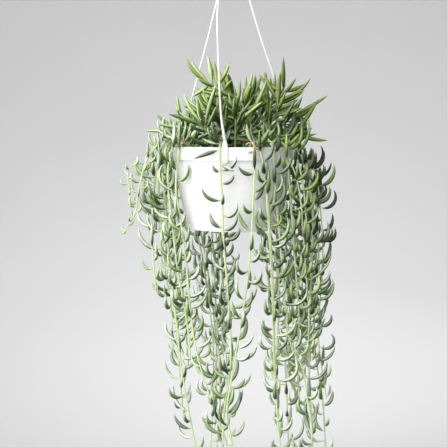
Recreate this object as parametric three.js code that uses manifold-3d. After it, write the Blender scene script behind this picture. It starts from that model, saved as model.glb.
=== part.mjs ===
// A fish hook plant in a white hanging pot, on a hook with three strands.
// Millimetres, +Z up. The origin is the seat of the hook, where a rail or a ceiling hook carries it.
import * as THREE from 'three';
import { mergeVertices } from 'three/addons/utils/BufferGeometryUtils.js';
import Module from 'manifold-3d';

const wasm = await Module();
wasm.setup();

// Driving dimensions. Heights inside the hanging group are measured from the top of the pot's rim.
const RIM_DROP = 284;
const GAP = 0.3;

const POT_RIM_RADIUS = 75;
const POT_NECK_RADIUS = 71.5;
const POT_BASE_RADIUS = 59;
const POT_HEIGHT = 100;
const POT_WALL = 2.2;
const RIM_BAND = 15.8;
const NECK_BAND = 8;
const FOOT_BAND = 8;
const FOOT_STEP = 0.8;
const NECK_STEP = 0.6;
const FOOT_CHAMFER = 1.5;
const LIP_CHAMFER = 0.9;
const DRAIN_HOLES = 6;
const DRAIN_RADIUS = 4;
const DRAIN_CIRCLE = 34;
const POT_SEGMENTS = 36;

const SOIL_TOP = -13;
const SOIL_RELIEF = 1.6;
const SOIL_WAVES = [0.19, 0.23];
const SOIL_RINGS = [58, 36, 16];
const SOIL_SEGMENTS = 28;
const STEM_HOLE_SIDES = 5;

const HUB_X = -2;
const HUB_HEIGHT = 240;
const HUB_RADIUS = 8;
const HUB_THICKNESS = 7;
const HUB_CHAMFER = 1.5;
const HOOK_INNER_RADIUS = 11;
const HOOK_ROD = 2.8;
const HOOK_OPENING = -20;
const STRAND_ROD = 1.2;
const STRAND_STEP = 30;
const CLIP_WIDTH = 7;
const CLIP_THICKNESS = 2;
const CLIP_TOP = 8;
const CLIP_CATCH = 2.2;
const CATCH_THICKNESS = 3;

const STEM_RADIUS = 1.3;
const STEM_SIDES = 3;
const STEM_STEP = 30;
const FOOT_DEPTH = 13;
const LEAF_SIDES = 3;
const HOOK_LEAF_LENGTH = 30;
const STRAIGHT_LEAF_LENGTH = 36;
const HOOK_LEAF_RADIUS = 2.5;
const STRAIGHT_LEAF_RADIUS = 2.5;
const FACET_SWELL = 1.15;
const LEAF_CLEARANCE = 0.7;
const HOOK_LEAF_GIRTHS = [0.22, 0.9, 1, 0];
const STRAIGHT_LEAF_GIRTHS = [0.22, 1, 0];
const LEAF_SPACING = 34;
const SPIRAL = 137.5;
const TURNS = [0, 25, -25, 50, -50, 80, -80, 115, -115, 150, -150, 180];
const SMALLEST_EDGE = 0.12;

// A trailing stem rises from the soil, lies over the rim at the crest and bends down outside it.
const SOIL_RISE = 3;
const CREST_RADIUS = 69;
const CREST_LEAST_REACH = 76.6;
const CREST_DROP = 3.6;
const CREST_ZONE = -12;
const BARE_FOOT = 38;
const BARE_TIP = 3;
const YOUNG_LENGTH = 70;
const UPRIGHT_SHARE = 0.25;

// Stems whose leaves are still small.
const SMALL_LEAVED = { trail_left_spray: 0.5 };

// Seeds of the stems whose leaves don't follow the running number.
const SEEDS = { trail_front: 3580 };

// Trailing stems: the foot's radius, the crest's height over the rim, then the hanging route.
const TRAILING = {
  trail_front: [60, 5.5, [-17, -79, -9], [-14, -78, -60], [-12, -76, -110], [-6, -78, -188], [-4, -82, -255],
    [-12, -84, -317], [-13, -85, -395], [-9, -84, -440]],
  trail_front_right: [60, 5.5, [24, -76, -9], [22, -79, -60], [20, -81, -100], [15, -84, -155], [6, -89, -215],
    [-4, -94, -272], [-8, -96, -308], [-1, -96, -351], [2, -95, -405]],
  trail_left_1: [60, 5.5, [-66, -43, -9], [-69, -43, -51], [-63, -46, -90], [-57, -48, -140], [-51, -50, -205],
    [-45, -51, -246], [-33, -53, -288], [-21, -55, -323], [-8, -57, -361], [0, -57, -415]],
  trail_left_2: [56, 10, [-87, -20, -10], [-84, -20, -65], [-79, -20, -139], [-72, -20, -205], [-66, -20, -265],
    [-58, -21, -318], [-48, -22, -375], [-43, -22, -425]],
  trail_left_3: [52, 8, [-76, -35, -9], [-79, -38, -40], [-74, -40, -90], [-68, -40, -145], [-60, -40, -192],
    [-55, -38, -228], [-53, -36, -262]],
  trail_left_4: [60, 12, [-90, 0, -6], [-93, 0, -40], [-90, 1, -100], [-86, 2, -154], [-79, 2, -200],
    [-76, 0, -262]],
  trail_left_5: [60, 8, [-82, 13, -8], [-85, 14, -50], [-83, 14, -110], [-78, 12, -180], [-72, 11, -240],
    [-68, 10, -300], [-64, 8, -350]],
  trail_left_6: [60, 10, [-84, -9, -2], [-96, -11, -40], [-100, -13, -85], [-100, -14, -130], [-96, -14, -180]],
  trail_left_spray: [46, 14, [-84, -28, 8], [-97, -30, -4], [-107, -31, -22], [-114, -31, -50],
    [-119, -30, -78], [-128, -30, -95], [-137, -30, -107]],
  trail_back_1: [60, 5.5, [-52, 60, -9], [-52, 62, -60], [-48, 68, -110], [-39, 76, -160], [-31, 78, -222],
    [-26, 78, -275], [-27, 78, -350], [-30, 78, -420]],
  trail_back_2: [60, 5.5, [-28, 74, -9], [-29, 76, -60], [-28, 72, -115], [-25, 66, -150], [-23, 62, -205],
    [-18, 60, -290], [-17, 60, -341], [-15, 60, -400]],
  trail_back_3: [60, 5.5, [-70, 37, -9], [-72, 38, -70], [-68, 34, -150], [-62, 30, -230], [-58, 28, -290]],
  trail_back_4: [60, 5.5, [-8, 79, -9], [-10, 80, -80], [-14, 78, -140], [-12, 76, -205]],
  trail_back_5: [60, 5.5, [14, 78, -9], [14, 79, -50], [12, 77, -92]],
  trail_back_6: [60, 5.5, [36, 70, -9], [37, 71, -55], [40, 68, -100], [46, 62, -160], [50, 60, -220]],
  trail_back_7: [60, 5.5, [56, 56, -9], [58, 57, -70], [58, 50, -140], [60, 44, -220], [58, 41, -300],
    [62, 38, -370]],
  trail_right_1: [60, 5.5, [31, -72, -9], [37, -71, -35], [41, -70, -86], [44, -70, -125], [47, -71, -191],
    [48, -71, -237], [52, -71, -319], [57, -71, -370], [62, -71, -435]],
  trail_right_2: [54, 7, [46, -64, -9], [48, -64, -45], [52, -63, -90], [57, -63, -142], [62, -63, -197],
    [69, -63, -238], [82, -63, -262], [87, -64, -295], [94, -65, -338], [92, -65, -385], [94, -65, -440]],
  trail_right_3: [60, 9, [74, -43, -10], [82, -44, -42], [86, -45, -80], [88, -46, -122], [81, -47, -155],
    [71, -48, -190], [64, -48, -226], [63, -48, -262], [66, -48, -325], [68, -48, -400], [65, -48, -445]],
  trail_right_4: [60, 10, [89, -15, -10], [98, -17, -48], [103, -18, -90], [105, -19, -145], [102, -20, -190],
    [100, -20, -228], [105, -20, -275], [112, -20, -315], [116, -20, -370], [117, -20, -430]],
  trail_right_5: [52, 9, [81, -29, -8], [90, -31, -40], [96, -32, -88], [94, -33, -145], [93, -33, -220],
    [94, -33, -289], [98, -33, -350], [99, -33, -405]],
  trail_right_6: [60, 10, [85, 6, -8], [95, 6, -40], [93, 6, -90], [89, 5, -150], [86, 4, -210], [85, 2, -265]],
  trail_right_7: [60, 6, [62, -50, -9], [66, -52, -50], [70, -54, -100], [74, -55, -150], [78, -55, -205],
    [77, -54, -255], [80, -54, -310]],
  trail_right_8: [60, 6, [68, 41, -9], [75, 38, -60], [75, 33, -130], [78, 30, -200], [80, 28, -280],
    [84, 26, -350]],
};

// Shoots of the mound that stand out by name: the foot, then the way up to the tip.
const TALL_SHOOTS = [
  [[22, -26], [20, -30, 30], [6, -34, 56], [-12, -36, 66], [-32, -36, 76]],
  [[36, -12], [42, -16, 26], [50, -20, 50], [62, -24, 68]],
  [[16, 2], [18, -2, 34], [23, -9, 62]],
  [[-8, -18], [-12, -26, 30], [-22, -36, 52]],
  [[30, 12], [38, 10, 30], [46, 6, 54]],
  [[54, -12], [66, -15, 12], [82, -18, 14]],
];

// The other shoots of the mound, lower towards the rim and higher on the right.
const MOUND_SHOOTS = 15;
const MOUND_RADIUS = 50;
const MOUND_HEIGHT = 54;
const MOUND_FALL = 24;
const MOUND_RISE = 0.18;
const MOUND_SPREAD = [1.15, 0.5];
const MOUND_LEAVES = 7;
const BARE_SHOOT = 14;

const POT_WHITE = 0xf1f2f3;
const SOIL_BROWN = 0x1d1813;
const LEAF_GREEN = 0x62814d;

const radians = THREE.MathUtils.degToRad;
const vector = (x, y, z) => new THREE.Vector3(x, y, z);

// The same seed always gives the same row of numbers between 0 and 1.
function seededRandom(seed) {
  let state = seed;
  return () => {
    state = (Math.imul(state, 1664525) + 1013904223) >>> 0;
    return state / 4294967296;
  };
}

const between = (random, low, high) => low + (high - low) * random();

// A three.js geometry as a manifold solid: positions only, shared corners, no empty triangles.
function toSolid(geometry) {
  const bare = geometry.clone();
  bare.deleteAttribute('normal');
  bare.deleteAttribute('uv');
  const merged = mergeVertices(bare, 1e-4);
  const index = merged.index.array;
  const corners = [];
  for (let i = 0; i < index.length; i += 3) {
    const [a, b, c] = [index[i], index[i + 1], index[i + 2]];
    if (a !== b && b !== c && c !== a) {
      corners.push(a, b, c);
    }
  }
  return new wasm.Manifold(new wasm.Mesh({
    numProp: 3,
    vertProperties: merged.getAttribute('position').array,
    triVerts: Uint32Array.from(corners),
  }));
}

function toGeometry(solid) {
  const mesh = solid.getMesh();
  const geometry = new THREE.BufferGeometry();
  geometry.setAttribute('position', new THREE.BufferAttribute(mesh.vertProperties, 3));
  geometry.setIndex(new THREE.BufferAttribute(mesh.triVerts, 1));
  geometry.computeVertexNormals();
  return geometry;
}

const join = (solids) => solids.reduce((whole, solid) => whole.add(solid));

// A profile of [radius, height] turned about the Z axis.
function turned(profile, segments) {
  const geometry = new THREE.LatheGeometry(profile.map(([radius, height]) => new THREE.Vector2(radius, height)),
    segments);
  return geometry.rotateX(Math.PI / 2);
}

// Lays a straight solid, whose axis is Y from 0 to 1 with a ring at each point, along the points.
function bend(geometry, points, side) {
  const position = geometry.getAttribute('position');
  const last = points.length - 1;
  const frames = points.map((point, index) => {
    const ahead = points[Math.min(index + 1, last)];
    const along = ahead.clone().sub(points[Math.max(index - 1, 0)]).normalize();
    const across = side.clone().addScaledVector(along, -side.dot(along)).normalize();
    return { point, across, third: across.clone().cross(along) };
  });
  for (let i = 0; i < position.count; i += 1) {
    const frame = frames[Math.round(position.getY(i) * last)];
    const corner = frame.point.clone();
    corner.addScaledVector(frame.across, position.getX(i));
    corner.addScaledVector(frame.third, position.getZ(i));
    position.setXYZ(i, corner.x, corner.y, corner.z);
  }
  return geometry;
}

// A round rod through the points.
function rod(points, radius, sides, side) {
  const straight = new THREE.CylinderGeometry(radius, radius, 1, sides, points.length - 1);
  straight.translate(0, 0.5, 0);
  return toSolid(bend(straight, points, side));
}

// Points on a smooth curve through the route, about one step apart.
function pointsAlong(route, step) {
  const curve = new THREE.CatmullRomCurve3(route, false, 'catmullrom', 0.5);
  const spans = route.length - 1;
  const points = [];
  for (let span = 0; span < spans; span += 1) {
    const parts = Math.max(1, Math.round(route[span].distanceTo(route[span + 1]) / step));
    for (let part = 0; part < parts; part += 1) {
      points.push(curve.getPoint((span + part / parts) / spans));
    }
  }
  points.push(route[spans].clone());
  return points;
}

// ---- Pot and soil ----

const taper = (POT_NECK_RADIUS - POT_BASE_RADIUS) / (POT_HEIGHT - RIM_BAND - NECK_BAND);

function potRadius(height) {
  if (height > -RIM_BAND) {
    return POT_RIM_RADIUS;
  }
  return POT_NECK_RADIUS - taper * Math.max(0, -height - RIM_BAND - NECK_BAND);
}

function makePot() {
  const neck = -RIM_BAND - NECK_BAND;
  const foot = -POT_HEIGHT + FOOT_BAND;
  const profile = [
    [0, -POT_HEIGHT],
    [POT_BASE_RADIUS - FOOT_CHAMFER, -POT_HEIGHT],
    [POT_BASE_RADIUS, -POT_HEIGHT + FOOT_CHAMFER],
    [potRadius(foot) - FOOT_STEP / 2, foot - FOOT_STEP],
    [potRadius(foot) + FOOT_STEP / 2, foot + FOOT_STEP],
    [POT_NECK_RADIUS + NECK_STEP, neck - NECK_STEP],
    [POT_NECK_RADIUS, neck + NECK_STEP],
    [POT_NECK_RADIUS, -RIM_BAND],
    [POT_RIM_RADIUS, -RIM_BAND],
    [POT_RIM_RADIUS, -LIP_CHAMFER],
    [POT_RIM_RADIUS - LIP_CHAMFER, 0],
    [POT_RIM_RADIUS - POT_WALL, 0],
    [innerRadius(SHOULDER), SHOULDER],
    [innerRadius(FLOOR), FLOOR],
    [0, FLOOR],
  ];
  let pot = toSolid(turned(profile, POT_SEGMENTS));
  for (let hole = 0; hole < DRAIN_HOLES; hole += 1) {
    const angle = (2 * Math.PI * hole) / DRAIN_HOLES;
    const drill = new THREE.CylinderGeometry(DRAIN_RADIUS, DRAIN_RADIUS, 4 * POT_WALL, 8).rotateX(Math.PI / 2);
    drill.translate(DRAIN_CIRCLE * Math.cos(angle), DRAIN_CIRCLE * Math.sin(angle), -POT_HEIGHT);
    pot = pot.subtract(toSolid(drill));
  }
  return toGeometry(pot);
}

// The pot's inner wall is straight from the rim to the shoulder, and from there to the floor.
const SHOULDER = -RIM_BAND - NECK_BAND + 4;
const FLOOR = -POT_HEIGHT + POT_WALL;

function innerRadius(height) {
  const top = POT_RIM_RADIUS - POT_WALL;
  const shoulder = POT_NECK_RADIUS - POT_WALL;
  const bottom = POT_BASE_RADIUS - POT_WALL;
  if (height > SHOULDER) {
    return THREE.MathUtils.mapLinear(height, SHOULDER, 0, shoulder, top);
  }
  return THREE.MathUtils.mapLinear(height, FLOOR, SHOULDER, bottom, shoulder);
}

function soilHeight(x, y) {
  return SOIL_TOP + SOIL_RELIEF * Math.sin(x * SOIL_WAVES[0] + 1) * Math.cos(y * SOIL_WAVES[1]);
}

// Low lumpy soil, with a plain hole for the foot of every stem.
function makeSoil(feet) {
  const slack = 2 * GAP;
  const floor = FLOOR + GAP;
  const rings = SOIL_RINGS.map((radius) => [radius, SOIL_TOP]);
  const profile = [
    [0, floor],
    [innerRadius(floor) - slack, floor],
    [innerRadius(SHOULDER) - slack, SHOULDER],
    [innerRadius(SOIL_TOP) - slack, SOIL_TOP],
    ...rings,
    [0, SOIL_TOP],
  ];
  const geometry = turned(profile, SOIL_SEGMENTS);
  const position = geometry.getAttribute('position');
  for (let i = 0; i < position.count; i += 1) {
    if (Math.abs(position.getZ(i) - SOIL_TOP) < 0.01) {
      position.setZ(i, soilHeight(position.getX(i), position.getY(i)));
    }
  }
  let soil = toSolid(geometry);
  for (const foot of feet) {
    const radius = STEM_RADIUS + GAP;
    const depth = 3 * FOOT_DEPTH;
    const drill = new THREE.CylinderGeometry(radius, radius, depth, STEM_HOLE_SIDES).rotateX(Math.PI / 2);
    drill.translate(foot.x, foot.y, foot.z - GAP + depth / 2);
    soil = soil.subtract(toSolid(drill));
  }
  return toGeometry(soil);
}

// ---- Hanger ----

const clipReach = POT_RIM_RADIUS + GAP + CLIP_THICKNESS / 2;
const clipAngles = { strand_front: -98, strand_left: 143, strand_right: 23 };
const strandBows = {
  strand_front: [[-15.5, -66, 42], [-18.5, -42, 110], [-18.5, -18, 172]],
  strand_left: [[-53, 37, 57], [-31.5, 22, 135]],
  strand_right: [[54, 22, 76], [32, 14, 140]],
};

// The hub with the hook above it, whose seat is the highest inside point of the bend.
function makeHook() {
  const shank = HUB_HEIGHT + HUB_THICKNESS / 2 - RIM_DROP;
  const bendRadius = HOOK_INNER_RADIUS + HOOK_ROD;
  const half = HUB_THICKNESS / 2;
  const hub = turned([[0, -half], [HUB_RADIUS, -half], [HUB_RADIUS, half - HUB_CHAMFER],
    [HUB_RADIUS - HUB_CHAMFER, half], [0, half]], 20);
  hub.translate(HUB_X, 0, HUB_HEIGHT - RIM_DROP);
  const route = [vector(HUB_X, 0, shank - 2), vector(HUB_X - 2, 0, shank + 5),
    vector(-bendRadius + 1.5, 0, -HOOK_INNER_RADIUS - 6)];
  for (let degrees = 180; degrees >= HOOK_OPENING; degrees -= 20) {
    const angle = radians(degrees);
    route.push(vector(bendRadius * Math.cos(angle), 0, bendRadius * Math.sin(angle) - HOOK_INNER_RADIUS));
  }
  return toGeometry(toSolid(hub).add(rod(route, HOOK_ROD, 8, vector(0, 1, 0))));
}

function strandRoute(name) {
  const angle = radians(clipAngles[name]);
  const bow = strandBows[name].map((point) => vector(...point));
  const top = vector(bow[bow.length - 1].x - HUB_X, bow[bow.length - 1].y, 0).setLength(HUB_RADIUS - 3);
  const start = vector(clipReach * Math.cos(angle), clipReach * Math.sin(angle), CLIP_TOP - 2);
  const end = vector(HUB_X + top.x, top.y, HUB_HEIGHT - HUB_THICKNESS / 2 - GAP - 0.5);
  return pointsAlong([start, ...bow, end], STRAND_STEP);
}

// A strand with the flat clip at its foot: a plate on the rim band, whose catch lies under the band.
function makeStrand(name) {
  const angle = radians(clipAngles[name]);
  const outline = new THREE.Shape();
  const inner = clipReach - CLIP_THICKNESS / 2;
  const outer = clipReach + CLIP_THICKNESS / 2;
  const under = -RIM_BAND - GAP;
  outline.moveTo(inner, CLIP_TOP);
  outline.lineTo(inner, under);
  outline.lineTo(inner - CLIP_CATCH, under);
  outline.lineTo(inner - CLIP_CATCH, under - CATCH_THICKNESS / 2);
  outline.lineTo(inner, under - CATCH_THICKNESS);
  outline.lineTo(outer, under - CATCH_THICKNESS + 1);
  outline.lineTo(outer, CLIP_TOP - 1);
  outline.closePath();
  const clip = new THREE.ExtrudeGeometry(outline, { depth: CLIP_WIDTH, bevelEnabled: false, steps: 1 });
  clip.translate(0, 0, -CLIP_WIDTH / 2);
  clip.rotateX(Math.PI / 2);
  clip.rotateZ(angle);
  const across = vector(-Math.sin(angle), Math.cos(angle), 0);
  return toGeometry(toSolid(clip).add(rod(strandRoute(name), STRAND_ROD, 6, across)));
}

// ---- Leafy stems ----

// Thin round things that a leaf of another node keeps clear of: pairs of points with a radius.
const obstacles = [];

function addObstacles(points, radius, owner) {
  for (let i = 1; i < points.length; i += 1) {
    obstacles.push({ from: points[i - 1], to: points[i], radius, owner });
  }
}

function distanceToSegment(point, from, to) {
  const line = to.clone().sub(from);
  const share = THREE.MathUtils.clamp(point.clone().sub(from).dot(line) / line.lengthSq(), 0, 1);
  return line.multiplyScalar(share).add(from).distanceTo(point);
}

// A point of the plant stays outside the pot, or over the soil inside it.
function clearOfPot(point, radius) {
  const room = radius + LEAF_CLEARANCE;
  const reach = Math.hypot(point.x, point.y);
  const over = point.z > room;
  const outside = reach > potRadius(point.z) + room;
  const below = point.z < -POT_HEIGHT - room;
  const inside = reach < POT_RIM_RADIUS - POT_WALL - 3 - room && point.z > SOIL_TOP + SOIL_RELIEF + room;
  return over || outside || below || inside;
}

// A leaf's spine starts in the stem and sweeps in one plane from the first slope to the last.
function leafSpine(root, azimuth, slopes, length, segments) {
  const points = [root.clone()];
  const out = vector(Math.cos(azimuth), Math.sin(azimuth), 0);
  for (let i = 0; i < segments; i += 1) {
    const slope = slopes[0] + ((slopes[1] - slopes[0]) * (i + 0.5)) / segments;
    const ahead = out.clone().multiplyScalar(Math.cos(slope));
    ahead.z = Math.sin(slope);
    points.push(points[i].clone().addScaledVector(ahead, length / segments));
  }
  return points;
}

function leafIsClear(leaf, owner) {
  const checks = leafSpine(leaf.root, leaf.azimuth, leaf.slopes, leaf.length, 8).slice(1);
  return checks.every((point) => {
    if (!clearOfPot(point, leaf.radius)) {
      return false;
    }
    return obstacles.every((other) => {
      if (other.owner === owner) {
        return true;
      }
      const room = Math.hypot(leaf.radius + other.radius + LEAF_CLEARANCE, leaf.length / 16);
      return distanceToSegment(point, other.from, other.to) > room;
    });
  });
}

// Turns the leaf about its stem until it is clear of all other nodes, or leaves it out.
function placeLeaf(leaf, owner) {
  for (const turn of TURNS) {
    const turnedLeaf = { ...leaf, azimuth: leaf.azimuth + radians(turn) };
    if (leafIsClear(turnedLeaf, owner)) {
      const spine = leafSpine(leaf.root, turnedLeaf.azimuth, leaf.slopes, leaf.length, 3);
      addObstacles(spine, leaf.radius, owner);
      return [turnedLeaf];
    }
  }
  return [];
}

function leafSolid(leaf) {
  const segments = leaf.girths.length - 1;
  const spine = leafSpine(leaf.root, leaf.azimuth, leaf.slopes, leaf.length, segments);
  const profile = [new THREE.Vector2(0, 0)];
  leaf.girths.forEach((girth, index) => {
    profile.push(new THREE.Vector2(girth * leaf.radius * FACET_SWELL, index / segments));
  });
  const side = vector(-Math.sin(leaf.azimuth), Math.cos(leaf.azimuth), 0);
  return toSolid(bend(new THREE.LatheGeometry(profile, LEAF_SIDES), spine, side));
}

// The point at a distance along a chain of points.
function pointAt(points, distance) {
  let left = distance;
  for (let i = 1; i < points.length; i += 1) {
    const length = points[i].distanceTo(points[i - 1]);
    if (left <= length) {
      return points[i - 1].clone().lerp(points[i], left / length);
    }
    left -= length;
  }
  return points[points.length - 1].clone();
}

function chainLength(points) {
  let length = 0;
  for (let i = 1; i < points.length; i += 1) {
    length += points[i].distanceTo(points[i - 1]);
  }
  return length;
}

function trailingRoute([footRadius, crest, ...hanging]) {
  const [x, y] = hanging[0];
  const angle = Math.atan2(y, x);
  const polar = (radius, height) => vector(radius * Math.cos(angle), radius * Math.sin(angle), height);
  const reach = Math.max(CREST_LEAST_REACH, (CREST_RADIUS + Math.hypot(x, y)) / 2);
  return [
    polar(footRadius, SOIL_TOP - FOOT_DEPTH),
    polar(footRadius, SOIL_TOP + SOIL_RISE),
    polar(footRadius + 4, crest - 3),
    polar(CREST_RADIUS, crest),
    polar(reach, crest - CREST_DROP),
    ...hanging.map((point) => vector(...point)),
  ];
}

// Hook leaves in a spiral down a trailing stem, smaller towards its growing tip.
function trailingLeaves(stem, name, random) {
  const run = chainLength(stem) - BARE_FOOT - BARE_TIP;
  const size = SMALL_LEAVED[name] ?? 1;
  const count = Math.floor(run / LEAF_SPACING) + 1;
  const phase = between(random, 0, 360);
  const leaves = [];
  for (let i = 0; i < count; i += 1) {
    const left = (run * (count - 1 - i)) / Math.max(1, count - 1);
    const root = pointAt(stem, BARE_FOOT + run - left);
    const age = Math.min(1, (left + BARE_TIP) / YOUNG_LENGTH);
    const raised = random() < UPRIGHT_SHARE || root.z > CREST_ZONE;
    const firstSlope = raised ? between(random, 5, 45) : between(random, -30, 5);
    leaves.push(...placeLeaf({
      root,
      slopes: [radians(firstSlope), radians(between(random, 75, 115))],
      azimuth: radians(phase + i * SPIRAL + between(random, 0, 50)),
      length: HOOK_LEAF_LENGTH * size * (0.5 + 0.5 * age) * between(random, 0.85, 1.12),
      radius: HOOK_LEAF_RADIUS * size ** 0.5 * (0.62 + 0.38 * age) * between(random, 0.85, 1.05),
      girths: HOOK_LEAF_GIRTHS,
    }, name));
  }
  return leaves;
}

// Straight leaves in a spiral round an upright shoot, closer and narrower set towards its tip.
function shootLeaves(stem, name, random) {
  const first = FOOT_DEPTH + BARE_SHOOT;
  const run = chainLength(stem) - first - 1;
  const phase = between(random, 0, 360);
  const leaves = [];
  for (let i = 0; i < MOUND_LEAVES; i += 1) {
    const rise = Math.sqrt((i + 0.5) / MOUND_LEAVES);
    const root = pointAt(stem, first + run * rise);
    const ahead = pointAt(stem, first + run * rise + 1).sub(pointAt(stem, first + run * rise - 4)).normalize();
    const across = vector(-ahead.z, 0, ahead.x).normalize();
    const third = ahead.clone().cross(across);
    const turn = radians(phase + i * SPIRAL + between(random, 0, 40));
    const spread = radians(between(random, 52, 96) - 42 * rise);
    const way = ahead.multiplyScalar(Math.cos(spread));
    way.addScaledVector(across, Math.sin(spread) * Math.cos(turn));
    way.addScaledVector(third, Math.sin(spread) * Math.sin(turn));
    const slope = Math.asin(way.z);
    leaves.push(...placeLeaf({
      root,
      slopes: [slope - radians(8), slope + radians(12)],
      azimuth: Math.atan2(way.y, way.x),
      length: STRAIGHT_LEAF_LENGTH * between(random, 0.8, 1.15),
      radius: STRAIGHT_LEAF_RADIUS * between(random, 0.82, 1.02),
      girths: STRAIGHT_LEAF_GIRTHS,
    }, name));
  }
  return leaves;
}

function shootRoutes() {
  const named = TALL_SHOOTS.map(([[x, y], ...way]) => [vector(x, y, SOIL_TOP - FOOT_DEPTH),
    vector(x, y, SOIL_TOP + SOIL_RISE), ...way.map((point) => vector(...point))]);
  const random = seededRandom(11);
  const ruled = [];
  for (let i = 0; i < MOUND_SHOOTS; i += 1) {
    const share = Math.sqrt((i + 0.5) / MOUND_SHOOTS);
    const angle = radians(i * SPIRAL + 30);
    const x = MOUND_RADIUS * share * Math.cos(angle);
    const y = MOUND_RADIUS * share * Math.sin(angle);
    const top = (MOUND_HEIGHT + MOUND_RISE * x - MOUND_FALL * share * share) * between(random, 0.85, 1.15);
    const reach = MOUND_SPREAD[0] + MOUND_SPREAD[1] * share;
    const half = (1 + reach) / 2;
    ruled.push([
      vector(x, y, SOIL_TOP - FOOT_DEPTH),
      vector(x, y, SOIL_TOP + SOIL_RISE),
      vector(x * half, y * half, top * 0.55),
      vector(x * reach, y * reach, top),
    ]);
  }
  return [...named, ...ruled];
}

const stems = {};
for (const [name, data] of Object.entries(TRAILING)) {
  stems[name] = pointsAlong(trailingRoute(data), STEM_STEP);
}
shootRoutes().forEach((route, index) => {
  stems[`shoot_${index + 1}`] = pointsAlong(route, STEM_STEP);
});
for (const [name, points] of Object.entries(stems)) {
  addObstacles(points, STEM_RADIUS, name);
}
for (const name of Object.keys(clipAngles)) {
  addObstacles(strandRoute(name), STRAND_ROD, name);
  const angle = radians(clipAngles[name]);
  const clipLine = [CLIP_TOP, -RIM_BAND - CATCH_THICKNESS].map((height) => vector(clipReach * Math.cos(angle),
    clipReach * Math.sin(angle), height));
  addObstacles(clipLine, CLIP_WIDTH / 2 + GAP, name);
}

function makeLeafyStem(name, seed) {
  const points = stems[name];
  const random = seededRandom(seed);
  const leaves = name.startsWith('shoot') ? shootLeaves(points, name, random)
    : trailingLeaves(points, name, random);
  const sideAngle = Math.atan2(points[0].y, points[0].x) + Math.PI / 2;
  const side = vector(Math.cos(sideAngle), Math.sin(sideAngle), 0);
  const stem = rod(points, STEM_RADIUS, STEM_SIDES, side);
  return toGeometry(join([stem, ...leaves.map(leafSolid)]).simplify(SMALLEST_EDGE));
}

// ---- The whole ----

const plastic = new THREE.MeshStandardMaterial({ color: POT_WHITE, roughness: 0.45, metalness: 0 });
const earth = new THREE.MeshStandardMaterial({ color: SOIL_BROWN, roughness: 0.95, metalness: 0 });
const foliage = new THREE.MeshStandardMaterial({ color: LEAF_GREEN, roughness: 0.55, metalness: 0 });

function named(name, geometry, material) {
  const mesh = new THREE.Mesh(geometry, material);
  mesh.name = name;
  return mesh;
}

const plant = new THREE.Group();
const hanging = new THREE.Group();
hanging.position.z = -RIM_DROP;
plant.add(named('hanger_hook', makeHook(), plastic), hanging);
hanging.add(named('pot', makePot(), plastic));
hanging.add(named('soil', makeSoil(Object.values(stems).map((points) => points[0])), earth));
for (const name of Object.keys(clipAngles)) {
  hanging.add(named(name, makeStrand(name), plastic));
}
Object.keys(stems).forEach((name, index) => {
  hanging.add(named(name, makeLeafyStem(name, SEEDS[name] ?? 100 + index), foliage));
});

export default plant;
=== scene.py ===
"""A fish hook plant in a white hanging pot: fine stems, leaves, pot, hanger and soil round the CAD frame."""

from math import acos, asin, atan2, cos, exp, floor, hypot, inf, pi, radians, sin, sqrt

import bmesh
import bpy
import numpy as np
from mathutils import Matrix, Vector, noise


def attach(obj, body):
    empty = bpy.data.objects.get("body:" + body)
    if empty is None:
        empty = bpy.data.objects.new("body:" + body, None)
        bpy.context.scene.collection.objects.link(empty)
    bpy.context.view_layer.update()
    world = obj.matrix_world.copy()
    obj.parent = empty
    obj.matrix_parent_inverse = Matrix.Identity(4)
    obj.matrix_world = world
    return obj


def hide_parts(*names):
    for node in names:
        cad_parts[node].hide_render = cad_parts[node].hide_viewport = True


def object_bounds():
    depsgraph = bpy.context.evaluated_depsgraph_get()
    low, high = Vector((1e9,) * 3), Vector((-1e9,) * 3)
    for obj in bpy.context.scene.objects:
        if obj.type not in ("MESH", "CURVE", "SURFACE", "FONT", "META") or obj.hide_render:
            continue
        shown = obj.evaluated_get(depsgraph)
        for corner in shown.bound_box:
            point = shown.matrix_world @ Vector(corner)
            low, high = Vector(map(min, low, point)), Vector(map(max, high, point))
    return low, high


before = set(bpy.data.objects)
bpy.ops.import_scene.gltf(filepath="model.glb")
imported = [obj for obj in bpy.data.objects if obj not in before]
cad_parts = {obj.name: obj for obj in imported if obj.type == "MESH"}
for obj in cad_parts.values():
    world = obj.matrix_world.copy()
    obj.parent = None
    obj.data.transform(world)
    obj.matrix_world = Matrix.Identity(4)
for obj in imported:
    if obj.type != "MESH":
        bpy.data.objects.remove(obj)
cad_low, cad_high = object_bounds()

MM = 0.001
GOLDEN = 137.5

# The same driving dimensions as the solids, in millimetres, with heights from the top of the rim.
RIM_DROP = 284
RIM_RADIUS = 75
NECK_RADIUS = 71.5
BASE_RADIUS = 59
POT_HEIGHT = 100
WALL = 2.2
RIM_BAND = 15.8
NECK_BAND = 8
FOOT_BAND = 8
DRAIN_HOLES = 6
DRAIN_RADIUS = 4
DRAIN_CIRCLE = 34
FOOT_RING = 7
FOOT_RECESS = 1
GROOVE = 0.6
EDGE_ROUND = 0.7
SOIL_TOP = -13
SOIL_RELIEF = 1.6
SOIL_DEPTH = 84
SOIL_FOOT_RADIUS = 56
SOIL_TOP_RADIUS = 70.2
SOIL_RINGS = 14
RING_WIDTH = 4.6
CRUMBS = 420
CRUMB_REACH = 69
FOOT_DEPTH = 13
HUB_X = -2
HUB_HEIGHT = 240
HUB_RADIUS = 8
HUB_THICKNESS = 7
HOOK_INNER = 11
HOOK_ROD = 2.8
STRAND_ROD = 1.2
STRAND_SWELL = 0.5
SWELL_HEIGHT = 10
SWELL_LENGTH = 20
CLIP_WIDTH = 7
CLIP_THICKNESS = 2
CLIP_TOP = 8
CLIP_SHOULDER = 1
CLIP_NARROWING = 0.5
CLIP_CATCH = 2.2
CATCH_DEPTH = 1.8
GAP = 0.3
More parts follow.
